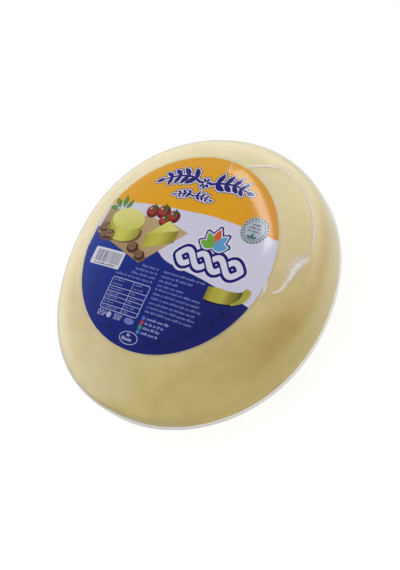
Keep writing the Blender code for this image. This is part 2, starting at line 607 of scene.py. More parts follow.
# ---------------------------------------------------------------------------------------------
# The picture's place on the left: a simple still life of a cheese, a cut wedge, red fruit,
# nuts and leaves on a wooden board, in flat inks with a darker and a lighter tone of each.
BOARD = ((-42.3, -0.6), (-13.3, -9.3), (3.0, 8.2), (-7.0, 10.6), (-41.6, 11.4))
WHEEL = (-28.6, 7.8, 8.8, 5.0)          # its top's middle and half widths
WHEEL_SIDE = 5.4
WEDGE_SIDE = ((-16.6, 3.0), (-15.0, -3.0), (-1.6, 2.6), (-1.4, 8.2))
WEDGE_TOP = ((-16.6, 3.0), (-1.4, 8.2), (-8.0, 11.4))
LEAVES = ((-37.0, 11.0, 165, 5.2), (-36.4, 12.0, 130, 6.0), (-34.6, 12.4, 95, 6.0),
          (-33.0, 12.2, 60, 5.0))
FRUIT = ((-18.4, 13.6, 3.2), (-13.0, 14.4, 3.4), (-7.2, 13.4, 3.1), (-10.4, 10.8, 2.9))
CROWN_ANGLES = (20, 90, 160, 235, 305)
NUTS = ((-39.0, 2.2, 2.9, 2.4), (-34.8, -0.6, 3.0, 2.4), (-38.0, -1.4, 2.2, 1.8),
        (-19.6, -3.6, 2.9, 2.3), (-14.6, -6.2, 2.7, 2.1))


def add_oval(plate, x, y, half_x, half_y, count=20, turn=0.0):
    points = []
    for across, along in arc(0.0, 0.0, half_x, half_y, 0, 360, count + 1)[:-1]:
        points.append((x + across * math.cos(turn) - along * math.sin(turn),
                       y + across * math.sin(turn) + along * math.cos(turn)))
    add_outline(plate, points)


def print_outlines(name, outlines, layer, material):
    plate = bmesh.new()
    for outline in outlines:
        add_outline(plate, outline)
    print_sheet(name, plate, layer, material)


def print_ovals(name, ovals, layer, material):
    plate = bmesh.new()
    for oval in ovals:
        add_oval(plate, *oval)
    print_sheet(name, plate, layer, material)


def drum(x, y, half_x, half_y, height):
    """The outline of a low round block seen from above its side."""
    near = arc(x, y - height, half_x, half_y, 180, 360, 15)
    return near + arc(x, y, half_x, half_y, 0, 180, 15)


def nearer(ovals, size, shift):
    """The same ovals made smaller and moved up and to the left, as their lit parts."""
    return [(x - shift * half_x, y + shift * half_y, size * half_x, size * half_y, 16)
            for x, y, half_x, half_y in ovals]


def shadows(ovals):
    return [(x + 0.25 * half_x, y - 0.45 * half_y, 1.15 * half_x, 0.8 * half_y)
            for x, y, half_x, half_y in ovals]


def nut_seam(x, y, half_x):
    path = [(x - half_x * 0.7, y - 0.2), (x - 0.2, y + 0.55), (x + half_x * 0.5, y + 0.7)]
    return path, [0.1, 0.16, 0.1]


print_outlines("print_board", [BOARD], 2,
               graded_ink("board_ink", (0.6, 0.8), -25.0, 6.0, (178, 146, 104), (206, 178, 136)))
wheel_x, wheel_y, wheel_half_x, wheel_half_y = WHEEL
cast = shadows(NUTS) + [(wheel_x + 1.6, wheel_y - WHEEL_SIDE - 0.4, wheel_half_x, wheel_half_y)]
print_ovals("print_board_shade", cast, 3, plain_ink("board_shade_ink", 132, 98, 66))
print_outlines("print_cheese_sides", [drum(*WHEEL, WHEEL_SIDE), WEDGE_SIDE], 4,
               graded_ink("cheese_side_ink", (1.0, 0.0), -36.0, 0.0, (196, 188, 70),
                          (226, 222, 104), (176, 166, 58), (214, 208, 88), (160, 148, 54)))
print_outlines("print_wedge_top", [WEDGE_TOP], 5,
               graded_ink("wedge_top_ink", (0.5, 1.0), 0.0, 10.0, (216, 212, 98), (236, 234, 134)))
print_ovals("print_cheese_top", [(*WHEEL, 36)], 5,
            graded_ink("cheese_top_ink", (-0.4, 1.0), 12.0, 26.0, (222, 220, 106), (240, 238, 146)))
fruit = [(x, y, size, size * 0.92) for x, y, size in FRUIT]
print_ovals("print_fruit", fruit, 4, plain_ink("fruit_ink", 122, 36, 42))
print_ovals("print_fruit_lit", nearer(fruit, 0.72, 0.2), 5, plain_ink("fruit_lit_ink", 190, 62, 60))
print_ovals("print_fruit_shine", nearer(fruit, 0.2, 0.42), 6,
            plain_ink("fruit_shine_ink", 232, 168, 160))
crowns = [leaf(x, y + size * 0.5, angle, size * 0.7, size * 0.26)
          for x, y, size in FRUIT for angle in CROWN_ANGLES]
print_strokes("print_fruit_crowns", crowns, 6, plain_ink("crown_ink", 74, 104, 52))
print_ovals("print_nuts", NUTS, 4, plain_ink("nut_ink", 84, 54, 44))
print_ovals("print_nuts_lit", nearer(NUTS, 0.74, 0.16), 5, plain_ink("nut_lit_ink", 152, 116, 88))
print_strokes("print_nut_seams", [nut_seam(*nut[:3]) for nut in NUTS], 6,
              plain_ink("nut_seam_ink", 96, 64, 48))
leaves = [leaf(x, y, angle, size, size * 0.42) for x, y, angle, size in LEAVES]
print_strokes("print_leaves", leaves, 5, plain_ink("leaf_ink", 96, 150, 62))
ribs = [tapered(leaf(x, y, angle, size * 0.85, 0)[0], 0.14, 0.06) for x, y, angle, size in LEAVES]
print_strokes("print_leaf_ribs", ribs, 6, plain_ink("rib_ink", 150, 190, 100))

# ---------------------------------------------------------------------------------------------
# The emblem's place in the middle: a plaited band, white with heavy navy outlines, and above it
# a palmette of green, orange and blue petals.
PLAIT_START, PLAIT_END, PLAIT_MIDDLE = 3.2, 33.2, -1.2
PLAIT_LOBES = 4
PLAIT_SWING = 3.0
PLAIT_HALF = 1.25
LOBE_PARTS = 12
FAN = ((167, 6.6, "green"), (129, 7.4, "green"), (90, 8.2, "orange"), (51, 7.4, "blue"),
       (13, 6.6, "blue"))
FAN_FOOT = (16.8, 5.2)
PETAL_WIDTH = 3.4
PETAL_INKS = (("green", 124, 190, 72), ("blue", 104, 178, 226), ("orange", 234, 104, 44))
HALO_GROW = 2.2                 # how far the white round the whole emblem reaches beyond it
HALO_SPAN = (PLAIT_START - PLAIT_HALF - 2.1, PLAIT_END + PLAIT_HALF + 2.1)
HALO_COLUMNS = 120
EMBLEM_LINE, PETAL_BORDER, CROSSING_LINE = 1.25, 0.55, 0.7
CROSSING_HALF, CROSSING_LINE_HALF = 0.34, 0.2


def strand(side, start, end):
    """Part of one of the band's two strands, between two counts of its lobes."""
    path = []
    for place in np.linspace(start, end, int(round((end - start) * LOBE_PARTS)) + 1):
        x = PLAIT_START + (PLAIT_END - PLAIT_START) * place / PLAIT_LOBES
        path.append((x, PLAIT_MIDDLE + side * PLAIT_SWING * math.sin(math.pi * place)))
    return path, [PLAIT_HALF] * len(path)


def crossings(half):
    """The strand that passes over at each crossing, for a part of a lobe either side of it."""
    return [strand(1 if turn % 2 else -1, turn - half, turn + half)
            for turn in range(1, PLAIT_LOBES)]


def petals(*kinds):
    return [leaf(*FAN_FOOT, angle, length, PETAL_WIDTH, 0.0)
            for angle, length, kind in FAN if kind in kinds]


def add_halo(plate, strokes, grow, x0, x1):
    """Fills the shape of all strokes together, grown and without holes, in upright strips."""
    places = np.array([place for path, _ in strokes for place in path])
    reach = np.array([half for _, halves in strokes for half in halves]) + grow
    columns = []
    for x in np.linspace(x0, x1, HALO_COLUMNS):
        span = np.sqrt(np.maximum(reach ** 2 - (places[:, 0] - x) ** 2, 0.0))
        near = span > 0.0
        low, high = (places[near, 1] - span[near]).min(), (places[near, 1] + span[near]).max()
        columns.append(((x, low), (x, high)))
    add_strip(plate, columns)


plait = [strand(side, 0, PLAIT_LOBES) for side in (1, -1)]
palmette = petals("green", "orange", "blue")
halo = bmesh.new()
add_halo(halo, plait + palmette, HALO_GROW, *HALO_SPAN)
print_sheet("print_emblem_halo", halo, 2, WHITE_INK)
print_strokes("print_emblem_line", plait + palmette, 3, NAVY_INK, EMBLEM_LINE)
print_strokes("print_petal_border", palmette, 4, WHITE_INK, PETAL_BORDER)
print_strokes("print_plait", plait, 4, WHITE_INK)
print_strokes("print_plait_over_line", crossings(CROSSING_LINE_HALF), 5, NAVY_INK, CROSSING_LINE)
print_strokes("print_plait_over", crossings(CROSSING_HALF), 6, WHITE_INK)
for kind, *tone in PETAL_INKS:
    print_strokes("print_petals_" + kind, petals(kind), 5, plain_ink(kind + "_ink", *tone))

# ---------------------------------------------------------------------------------------------
# The seal and the ribbon on the right: a green seal with a toothed edge, rows of plain blocks
# and a small sprig, and a folded ribbon in olive gold that is left bare.
SEAL = (30.6, 16.8)
SEAL_GROUND, SEAL_TEETH, SEAL_CIRCLE = 5.9, 5.35, 4.35         # the radius of each
SEAL_ROWS = ((2.3, 1.9), (0.9, 2.8), (-0.5, 2.9))       # each row's height and half width
SEAL_TYPE = 0.62
RIBBON_TOP = ((22.9, -10.2), (27.5, -9.7), (32.0, -9.7), (36.0, -9.0), (38.2, -7.6))
RIBBON_FOOT = ((38.6, -11.6), (36.8, -13.8), (32.0, -15.2), (27.5, -15.7), (22.9, -15.6))
RIBBON_TURN = ((34.9, -14.2), (36.6, -12.6), (37.6, -10.4), (37.9, -7.3), (39.3, -6.7),
               (40.8, -7.2))
RIBBON_TURN_FOOT = ((40.9, -9.2), (39.8, -11.8), (37.6, -13.6), (35.2, -14.9))
RIBBON_SHADE = (0.2, -0.6)
# A row of type, as shares of its size: a letter's width, from and to, how far a letter rises,
# which one in four does, and the gaps between letters and between words
LETTER_WIDTHS = (0.45, 0.8)
LETTER_RISES = (0.0, 0.0, 0.0, 0.4)
LETTER_GAP, WORD_GAP = 0.26, 0.7
WORD_LETTERS = (2, 7)

rng = random.Random(5)


def add_bar(plate, x0, y0, x1, y1):
    add_outline(plate, ((x0, y0), (x1, y0), (x1, y1), (x0, y1)))


def add_words(plate, x0, x1, y, size):
    """A row of type as small blocks, one to a letter, in words of uneven length."""
    x = x0
    while x < x1 - size:
        for _ in range(rng.randint(*WORD_LETTERS)):
            end = x + size * rng.uniform(*LETTER_WIDTHS)
            rise = size * rng.choice(LETTER_RISES)
            if end < x1:
                add_bar(plate, x, y - size / 2, end, y + size / 2 + rise)
            x = end + size * LETTER_GAP
        x += size * WORD_GAP


seal_x, seal_y = SEAL
print_ovals("print_seal_ground", [(*SEAL, SEAL_GROUND, SEAL_GROUND, 40)], 2,
            plain_ink("seal_ground_ink", 200, 206, 222))
teeth = [(x, y, 0.5, 0.4, 10, angle) for x, y, angle in ring(*SEAL, SEAL_TEETH, 26)]
print_ovals("print_seal_scallops", teeth, 3, plain_ink("seal_ink", 84, 128, 100))
circle = arc(*SEAL, SEAL_CIRCLE, SEAL_CIRCLE, 0, 360, 41)
sprig = [leaf(seal_x, seal_y - 3.7, angle, 2.6, 1.2, 0.0) for angle in (25, 90, 155)]
print_strokes("print_seal_sprig", [tapered(circle, 0.14, 0.14)] + sprig, 3,
              plain_ink("seal_sprig_ink", 88, 128, 112))
seal_words = bmesh.new()
for y, half in SEAL_ROWS:
    add_words(seal_words, seal_x - half, seal_x + half, seal_y + y, SEAL_TYPE)
print_sheet("print_seal_words", seal_words, 3, plain_ink("seal_word_ink", 92, 112, 116))
ribbon = curve_through(RIBBON_TOP) + curve_through(RIBBON_FOOT)
shade = [(x + RIBBON_SHADE[0], y + RIBBON_SHADE[1]) for x, y in ribbon]
print_outlines("print_ribbon_shade", [shade], 2, plain_ink("shade_ink", 22, 22, 66))
print_outlines("print_ribbon", [ribbon], 3,
               graded_ink("ribbon_ink", (1.0, 0.0), 23.5, 39.5, (146, 136, 60), (198, 186, 64),
                          (204, 194, 88), (156, 144, 56), (82, 74, 40)))
ribbon_turn = curve_through(RIBBON_TURN) + curve_through(RIBBON_TURN_FOOT)
print_outlines("print_ribbon_turn", [ribbon_turn], 4,
               graded_ink("ribbon_turn_ink", (1.0, -0.35), 40.5, 44.5, (188, 180, 72),
                          (226, 220, 116), (136, 130, 78)))

# ---------------------------------------------------------------------------------------------
# The small print on the navy field: a bar code on a white patch, a ruled table, rows of type
# kept as small blocks, four small coloured marks, a row of signs and an oval stamp.
PALE_INK = plain_ink("pale_ink", 128, 136, 206)
LILAC_INK = plain_ink("lilac_ink", 198, 199, 242)
CODE_PATCH = (-38.0, -14.6, -21.2, -6.8)
CODE_BARS = (-36.0, -12.9, -22.8, -7.8)
BAR_WIDTHS = (0.2, 0.2, 0.34, 0.5)
BAR_GAPS = (0.28, 0.4, 0.6)
CODE_ROW = (-35.4, -23.4, -13.8, 0.5)           # a row of blocks: from, to, height, size
TYPE_SIZE = 0.72
# Each row's height, where it starts and its size; on the right, its height and where it ends
LEFT_ROWS = ((-9.8, -10.5, 0.85), (-11.8, -13.0, 0.72), (-13.8, -14.2, 0.72), (-15.7, -21.5, 0.72))
LEFT_ROWS_END = -1.7
RIGHT_ROWS = ((-10.0, 21.2), (-12.0, 16.2), (-14.0, 10.0), (-15.9, 13.7), (-17.7, 23.0),
              (-19.7, 23.7), (-21.7, 25.0), (-23.7, 23.2), (-25.6, 24.5), (-27.5, 23.7))
RIGHT_ROWS_START = 0.5
TABLE = (-21.7, -31.3, -1.9, -17.5)
TABLE_SPLIT = -10.3
TABLE_LINES = (-21.5, -23.7, -25.5, -27.3, -29.5)
FRAME_HALF, LINE_HALF, LINE_INSET = 0.17, 0.13, 0.15
TABLE_TYPE = 0.6
TALL_ROW = 3.0                  # a row of the table that is higher than this holds two rows of type
FIRST_COLUMN = (0.9, 5.5, 9.6)          # where its type starts, and the least and most it reaches
SECOND_COLUMN = (1.0, 3.0, 6.6)
# Each mark's height, the end of the row of type beside it, its name and its tone
MARKS = ((-30.2, 14.5, "mark_blue", (84, 128, 214)), (-32.2, 13.5, "mark_red", (206, 78, 84)),
         (-34.1, 11.5, "mark_green", (70, 172, 128)), (-36.1, 11.3, "mark_teal", (66, 152, 204)))
MARK_LEFT, MARK_RIGHT, MARK_HALF, MARK_TYPE_START, MARK_TYPE = 0.6, 2.2, 0.8, 3.0, 0.8
SIGNS = ((-21.6, 4.4), (-12.8, 4.2))            # each block of rows: its left end and its width
SIGN_TOP, SIGN_PITCH, SIGN_TYPE = -32.3, 0.85, 0.5
SIGN_DISC = (-15.6, -33.2, 1.25, 1.25, 18)
SMALL_OVAL = (-4.7, -33.3, 2.5, 1.35, 28)
STAMP = (-1.7, -39.6, 4.5, 2.5)
STAMP_HALF, STAMP_POINTS = 0.16, 33
STAMP_ROWS = ((-2.9, -0.3, -38.6, 0.9), (-4.9, 1.6, -40.3, 1.0))


def rounded_box(x0, y0, x1, y1, corner):
    points = []
    for x, y, start in ((x1, y1, 0), (x0, y1, 90), (x0, y0, 180), (x1, y0, 270)):
        inner_x = x - corner if x == x1 else x + corner
        inner_y = y - corner if y == y1 else y + corner
        points += arc(inner_x, inner_y, corner, corner, start, start + 90, 5)
    return points


print_outlines("print_code_patch", [rounded_box(*CODE_PATCH, 0.8)], 2, WHITE_INK)
bars = bmesh.new()
bar_x, bar_foot, bars_end, bar_top = CODE_BARS
while bar_x < bars_end:
    width = rng.choice(BAR_WIDTHS)
    add_bar(bars, bar_x, bar_foot, bar_x + width, bar_top)
    bar_x += width + rng.choice(BAR_GAPS)
add_words(bars, *CODE_ROW)
print_sheet("print_code_bars", bars, 3, plain_ink("code_ink", 80, 80, 100))

ruling = bmesh.new()
x0, y0, x1, y1 = TABLE
outer_line = rounded_box(*TABLE, 0.9)
add_stroke(ruling, outer_line + outer_line[:1], [FRAME_HALF] * (len(outer_line) + 1))
for y in TABLE_LINES:
    add_bar(ruling, x0 + LINE_INSET, y - LINE_HALF, x1 - LINE_INSET, y + LINE_HALF)
add_bar(ruling, TABLE_SPLIT - LINE_HALF, y0 + LINE_INSET, TABLE_SPLIT + LINE_HALF, y1 - LINE_INSET)
print_sheet("print_table_lines", ruling, 2, LILAC_INK)

type_rows = bmesh.new()
for y, start, size in LEFT_ROWS:
    add_words(type_rows, start, LEFT_ROWS_END, y, size)
for y, end in RIGHT_ROWS:
    add_words(type_rows, RIGHT_ROWS_START, end, y, TYPE_SIZE)
for upper, lower in zip((y1,) + TABLE_LINES, TABLE_LINES + (y0,)):
    middle = (upper + lower) / 2
    rows = (middle + 0.95, middle - 0.85) if upper - lower > TALL_ROW else (middle,)
    for y in rows:
        for left, (start, least, most) in ((x0, FIRST_COLUMN), (TABLE_SPLIT, SECOND_COLUMN)):
            add_words(type_rows, left + start, left + rng.uniform(least, most), y, TABLE_TYPE)
print_sheet("print_type_rows", type_rows, 3, PALE_INK)

contact = bmesh.new()
for y, end, _, _ in MARKS:
    add_words(contact, MARK_TYPE_START, end, y, MARK_TYPE)
print_sheet("print_contact_rows", contact, 2, plain_ink("contact_ink", 164, 170, 226))
for y, _, name, tone in MARKS:
    mark = rounded_box(MARK_LEFT, y - MARK_HALF, MARK_RIGHT, y + MARK_HALF, 0.3)
    print_outlines("print_" + name, [mark], 2, plain_ink(name, *tone))

signs = bmesh.new()
for x, width in SIGNS:
    for row in range(3):
        add_words(signs, x, x + width, SIGN_TOP - SIGN_PITCH * row, SIGN_TYPE)
add_oval(signs, *SIGN_DISC)
add_stroke(signs, arc(*STAMP, 0, 360, STAMP_POINTS), [STAMP_HALF] * STAMP_POINTS)
for row in STAMP_ROWS:
    add_words(signs, *row)
print_sheet("print_signs", signs, 2, LILAC_INK)
print_ovals("print_small_oval", [SMALL_OVAL], 2, PALE_INK)

# ---------------------------------------------------------------------------------------------
# The navy field's own pattern: thin scrolled stems with small leaves, in a slightly deeper blue
# that is printed straight on the navy.
STEMS = (((-36.5, -17.0), (-30.0, -20.0), (-27.5, -26.0), (-24.5, -29.0), (-26.0, -34.5)),
         ((-35.5, -22.5), (-31.0, -24.0), (-29.0, -29.5)),
         ((4.0, -42.0), (9.0, -38.5), (16.0, -37.0), (21.0, -33.0), (28.0, -31.5)),
         ((17.0, -29.6), (23.0, -30.4), (29.0, -26.0), (32.0, -21.0), (38.5, -18.5)),
         ((-18.0, -38.5), (-13.0, -37.0), (-9.5, -39.5), (-8.5, -42.5)))
STEM_HALVES = (0.17, 0.1)
STEM_LEAF = (3.0, 0.9)

stem_strokes = []
for stem in STEMS:
    path = curve_through(stem)
    stem_strokes.append(tapered(path, *STEM_HALVES))
    for index in range(6, len(path) - 2, 7):
        side = 1 if index % 2 else -1
        stem_strokes.append(leaf(*path[index], 40 + 90 * side + 8 * index % 30, *STEM_LEAF))
# graded as the navy field, with the same painted light and shade
print_strokes("print_navy_stems", stem_strokes, 2,
              graded_ink("stem_ink", *NAVY_PAINTED_SHADING, (20, 26, 84), (27, 48, 122)))

# ---------------------------------------------------------------------------------------------
# The film. Clear shrink film, drawn tight by a vacuum: it tents from the label's edge down to the
# cheese, stands in a sharp crease along the right shoulder and in a few soft waves, and is closed
# under the foot by a flat welded seam with pleats round it. Stretched hard, it goes milky white;
# along its creases that white is partly painted highlight, and round the label it is painted
# highlight.
FILM_INSET = 0.05 * MM          # the film lies this far inside the wheel's own surface
FILM_OVER_LABEL = 0.28 * MM
FILM_TENT = (0.1 * MM, 4.5 * MM)        # from the label's edge: where it falls, from and to
FILM_WAVE = 0.08 * MM
WAVE_SIZE = 17.0 * MM
FILM_CEILING = cad_high.z - 0.02 * MM
FILM_TURNS = 500
FILM_MIRROR = 0.06              # the share of light that its two faces mirror, seen square on
FILM_TINT = ((0.5, 0.985), (0.92, srgb(233, 233, 233)))         # seen square on, and edge on
# painted highlight: the film is made whiter where it tents clear of the cheese round the label
TENT_HIGHLIGHT = 0.075              # how white the film looks where it stands clear of the cheese
TENT_HIGHLIGHT_REACH = (0.5 * MM, 6.0 * MM)       # from the label's edge: where that fades out,
LABEL_RIM = (-0.4 * MM, 0.4 * MM)       # and where it starts
MOST_WHITE = 0.9
# The creases. At each place: the bearing in degrees, the share of the wheel's radius, the height
# and half width in mm, and how white the film is made, from 0 to 1: milky stressed film, and
# painted highlight.
CREASES = (
    # the long crease, from its top down the right shoulder
    ((75.0, 0.750, 0.01, 0.7, 0), (73.0, 0.770, 0.06, 0.8, 0.5), (69.6, 0.810, 0.08, 0.8, 0.85),
     (65.3, 0.865, 0.08, 0.8, 0.85), (62.1, 0.893, 0.03, 1.5, 0.4), (59.4, 0.909, 0.01, 2.2, 0.28),
     (53.7, 0.920, 0.03, 1.9, 0.28), (48.4, 0.932, 0.08, 1.0, 0.48), (41.6, 0.938, 0.10, 0.65, 0.74),
     (34.2, 0.941, 0.10, 0.6, 0.8), (29.3, 0.939, 0.10, 0.6, 0.8), (23.3, 0.936, 0.10, 0.6, 0.6),
     (19.1, 0.935, 0.07, 0.8, 0.25)),
    # its lower end, where it is broad and turns in towards the label
    ((18.4, 0.934, 0.06, 0.9, 0.25), (16.4, 0.915, 0.08, 1.4, 0.75), (14.0, 0.888, 0.08, 1.5, 0.9),
     (11.6, 0.873, 0.08, 1.4, 0.9), (8.2, 0.861, 0.08, 1.1, 0.85), (5.5, 0.855, 0.09, 0.9, 0.7),
     (2.4, 0.842, 0.08, 0.8, 0.7), (0.3, 0.831, 0.07, 0.7, 0.65), (-1.3, 0.804, 0.03, 0.5, 0.45)),
    # a soft white smear beside that end, nearly flat: painted highlight
    ((18.0, 0.915, 0.01, 2.0, 0.35), (15.2, 0.880, 0.02, 2.4, 0.55), (12.2, 0.860, 0.01, 2.3, 0.5),
     (8.8, 0.850, 0.00, 1.7, 0.3), (5.0, 0.852, 0.00, 1.0, 0)),
    # a short crease near the label, and a faint line of painted highlight beyond the long crease's
    # top
    ((4.0, 0.738, 0.00, 0.7, 0.2), (1.0, 0.748, 0.04, 0.7, 0.6), (-2.4, 0.753, 0.04, 0.6, 0.6),
     (-4.6, 0.751, 0.03, 0.4, 0.3), (-6.5, 0.751, 0.00, 0.4, 0)),
    ((82.0, 0.745, 0.00, 0.5, 0.3), (80.3, 0.700, 0.00, 0.4, 0.5), (78.6, 0.665, 0.00, 0.35, 0.3)),
)
CREASE_REACH = 2.7 * MM         # how far from a crease the film's mesh is made finer
CREASE_CUTS = 2
WISP_SIZE = 0.75 * MM           # whitened film is broken up by wisps of this size
WISP_STRETCH = (1.0, 0.4, 1.0)
WISP_DEPTH, TOP_WISP_DEPTH = 0.5, 0.12          # they are fainter at the long crease's top
WISP_FADE = (18.0 * MM, 26.0 * MM)
GATHERS = 46
GATHER_DEPTH = 0.16 * MM
GATHER_HEIGHT, GATHER_REACH = 9.0 * MM, 8.0 * MM
FLAT_FOOT = 0.05 * MM           # what lies lower than this is the flat foot, which isn't gathered
SEAM_BEARING = math.radians(24.0)
SEAM_HALF = 1.1 * MM
SEAM_EDGE = (0.1 * MM, 0.6 * MM)
UNDERSIDE = (0.5 * MM, 7.0 * MM)
PLEATS_IN, PLEATS_OUT = 26.0 * MM, 40.0 * MM
PLEAT_WHITE, SEAM_EDGE_WHITE, SEAM_WHITE = 0.34, 0.3, 0.12
POINTS_AT_ONCE = 8192


def wheel_place(bearing, share):
    reach = share * outer_radius(bearing)
    x, y = reach * np.cos(bearing), reach * np.sin(bearing)
    return np.stack([x, y, above_belly(bulge(share))], -1)


def crease_lines():
    """Each crease as points along its line, with the height, half width and whiteness there."""
    lines = []
    for crease in CREASES:
        path = np.array(curve_through(crease, 20))
        lines.append((wheel_place(np.radians(path[:, 0]), path[:, 1]), path[:, 2:]))
    return lines


def crease_distance(points, line):
    """The distance from each point to a line, and the line's place that is nearest to it."""
    nearest = np.empty(len(points), int)
    apart = np.empty(len(points))
    for start in range(0, len(points), POINTS_AT_ONCE):
        part = slice(start, start + POINTS_AT_ONCE)
        span = np.linalg.norm(points[part, None, :] - line[None], axis=2)
        nearest[part] = span.argmin(axis=1)
        apart[part] = span.min(axis=1)
    return apart, nearest


def crease_shape(points):
    """How far the film stands up at each point, and how white it is made there: milky stressed film,
    and painted highlight.
    """
    height, white = np.zeros(len(points)), np.zeros(len(points))
    for line, values in crease_lines():
        apart, nearest = crease_distance(points, line)
        closeness = np.exp(-(apart / (values[nearest, 1] * MM)) ** 2)
        height = np.maximum(height, values[nearest, 0] * MM * closeness)
        white = np.maximum(white, values[nearest, 2] * closeness)
    return height, white


def underside_white(points, pleat):
    """How white the film is stressed under the foot: along its pleats and its flat welded seam."""
    reach = np.hypot(points[:, 0], points[:, 1])
    under = 1.0 - ease(points[:, 2], *UNDERSIDE)
    pleats = PLEAT_WHITE * np.clip(pleat, 0.0, 1.0) ** 6 * ease(reach, PLEATS_IN, PLEATS_OUT)
    from_seam = np.abs(reach * np.sin(bearings(points) - SEAM_BEARING))
    seam = SEAM_EDGE_WHITE * (1.0 - ease(np.abs(from_seam - SEAM_HALF), *SEAM_EDGE))
    seam += SEAM_WHITE * (from_seam < SEAM_HALF)
    return under * np.maximum(pleats, seam)


def wisps(points):
    """How the whiteness is broken up: more or less of it in short, soft streaks."""
    depth = WISP_DEPTH - (WISP_DEPTH - TOP_WISP_DEPTH) * ease(points[:, 1], *WISP_FADE)
    return 1.0 + depth * soft_noise(points * WISP_STRETCH, WISP_SIZE, seed=9)


def refine_creases(mesh):
    """Cuts the film's mesh finer round each crease."""
    points = read_points(mesh)
    near = np.zeros(len(points), bool)
    for line, _ in crease_lines():
        near |= crease_distance(points, line)[0] < CREASE_REACH
    bm = bmesh.new()
    bm.from_mesh(mesh)
    bm.verts.ensure_lookup_table()
    edges = [edge for edge in bm.edges if all(near[vert.index] for vert in edge.verts)]
    bmesh.ops.subdivide_edges(bm, edges=edges, cuts=CREASE_CUTS, use_grid_fill=True)
    bm.to_mesh(mesh)
    bm.free()
    mesh.shade_smooth()


def add_math(tree, operation, first, second):
    math_node = tree.nodes.new("ShaderNodeMath")
    math_node.operation = operation
    tree.links.new(first, math_node.inputs[0])
    if isinstance(second, float):
        math_node.inputs[1].default_value = second
    else:
        tree.links.new(second, math_node.inputs[1])
    return math_node.outputs["Value"]


def mix_shaders(tree, share, first, second):
    """The first shader, giving way to the second as the share goes from 0 to 1."""
    mix = tree.nodes.new("ShaderNodeMixShader")
    for source, socket in zip((share, first, second), mix.inputs):
        tree.links.new(source, socket)
    return mix.outputs["Shader"]


def film_material():
    """Clear film that mirrors more of the light edge on, and is milky where it is stressed; along
    its creases and round the label that milky white is also painted highlight.
    """
    material, tree, shader = new_material("clear_film")
    tree.nodes.remove(shader)
    ripple = add_bump(tree, add_noise(tree, 130.0, 2.0), 0.12, 0.3 * MM)
    weight = tree.nodes.new("ShaderNodeLayerWeight")
    set_inputs(weight, {"Blend": 0.5})
    tree.links.new(ripple, weight.inputs["Normal"])
    edge_on = weight.outputs["Facing"]
    clear = tree.nodes.new("ShaderNodeBsdfTransparent")
    tree.links.new(add_ramp(tree, edge_on, FILM_TINT), clear.inputs["Color"])
    gloss = tree.nodes.new("ShaderNodeBsdfGlossy")
    set_inputs(gloss, {"Roughness": 0.11})
    tree.links.new(ripple, gloss.inputs["Normal"])
    mirrored = tree.nodes.new("ShaderNodeMapRange")
    set_inputs(mirrored, {"To Min": FILM_MIRROR})
    tree.links.new(add_math(tree, "POWER", edge_on, 5.0), mirrored.inputs["Value"])
    film_look = mix_shaders(tree, mirrored.outputs["Result"], clear.outputs["BSDF"],
                            gloss.outputs["BSDF"])
    # diffuse white: milky stressed film, and painted highlight on the creases and round the label
    milky = tree.nodes.new("ShaderNodeBsdfDiffuse")
    set_inputs(milky, {"Color": (1.0, 0.96, 0.93, 1.0)})
    stress_and_highlight = tree.nodes.new("ShaderNodeAttribute")
    stress_and_highlight.attribute_name = "stress_white_and_highlight"
    film_look = mix_shaders(tree, stress_and_highlight.outputs["Fac"], film_look, milky.outputs["BSDF"])
    tree.links.new(film_look, tree.nodes["Material Output"].inputs["Surface"])
    return material


def film_step(radius, height):
    """The mesh's step in mm along the outline: fine on the shoulder, coarse under the foot."""
    if height < 0.1:
        return 2.5
    if height < 28.0:
        return 1.0
    return 0.4 if radius > 38.0 else 1.6


def make_film():
    mesh = turned_wheel("shrink_film", film_step, FILM_TURNS)
    refine_creases(mesh)
    points, normals = read_points(mesh), read_normals(mesh)
    over_label = label_share(points, *FILM_TENT)
    waves = np.minimum(soft_noise(points, WAVE_SIZE, seed=3), 0.6) * (1.0 - over_label)
    low = ease(GATHER_HEIGHT - points[:, 2], 0.0, GATHER_REACH) * (points[:, 2] > FLAT_FOOT)
    pleat = np.cos(GATHERS * bearings(points) + 2.0 * np.sin(5 * bearings(points)))
    crease, white = crease_shape(points)
    move = (-FILM_INSET + (FILM_OVER_LABEL + FILM_INSET) * over_label + FILM_WAVE * waves
            + GATHER_DEPTH * low * (pleat - 1.0) + crease)
    # painted highlight round the label's edge, where the film tents
    tent = label_share(points, *TENT_HIGHLIGHT_REACH) * (1.0 - label_share(points, *LABEL_RIM))
    white = np.maximum(white, underside_white(points, pleat)) + TENT_HIGHLIGHT * tent
    white = np.clip(white * wisps(points), 0.0, MOST_WHITE)
    points += normals * move[:, None]
    points[:, 2] = np.clip(points[:, 2], 0.0, FILM_CEILING)
    write_points(mesh, points)
    stress_and_highlight = mesh.attributes.new("stress_white_and_highlight", "FLOAT", "POINT")
    stress_and_highlight.data.foreach_set("value", white.astype(np.float32))
    return link("shrink_film", mesh, film_material())


film = make_film()
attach(film, "root")
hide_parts("wrapped_wheel")

# ---------------------------------------------------------------------------------------------
# The studio: a pale floor with a pale screen all round, and even light on what is matt. In the
# gloss of the film stand a bright wall behind the wheel, a soft glow and a strip light above it.
# The camera looks down on the wheel from its right side.
FLOOR_HALF = 3.0
FLOOR_DROP = 0.2 * MM
SCREEN_RADIUS, SCREEN_HEIGHT = 2.6, 2.4
STAGE_TONES = ((0.0, 0.19), (1.0, 0.21))
FLOOR_GLOW, SCREEN_GLOW = 0.87, 1.0
WALL_BEARING = 112.0
WALL_SPREAD = (-0.6, 0.6)
